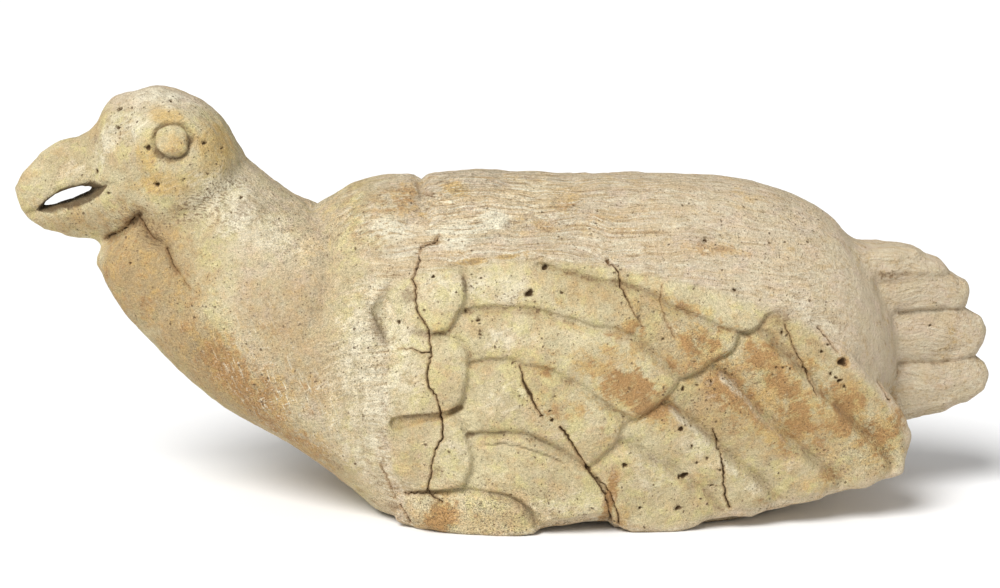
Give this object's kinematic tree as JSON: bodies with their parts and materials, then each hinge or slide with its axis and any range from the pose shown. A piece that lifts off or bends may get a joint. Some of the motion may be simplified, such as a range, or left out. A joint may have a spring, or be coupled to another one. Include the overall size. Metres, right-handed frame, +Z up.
{
  "type": "terracotta bird figure",
  "caption": "Hand-built terracotta figure of a resting bird with a hooked open beak, disc eyes, wings carved in rows of feathers and a fan tail, cracked and worn.",
  "frame": {"origin": "centre of the figure's footprint box on the surface it rests on", "axes": "+Z up from the underside, +X from the beak to the tail, +Y to the bird's right side"},
  "size_m": [0.4326, 0.1442, 0.1834],
  "materials": {
    "terracotta": "unglazed, weathered, matt"
  },
  "bodies": {
    "root": {"bird": "terracotta"}
  },
  "joints": []
}
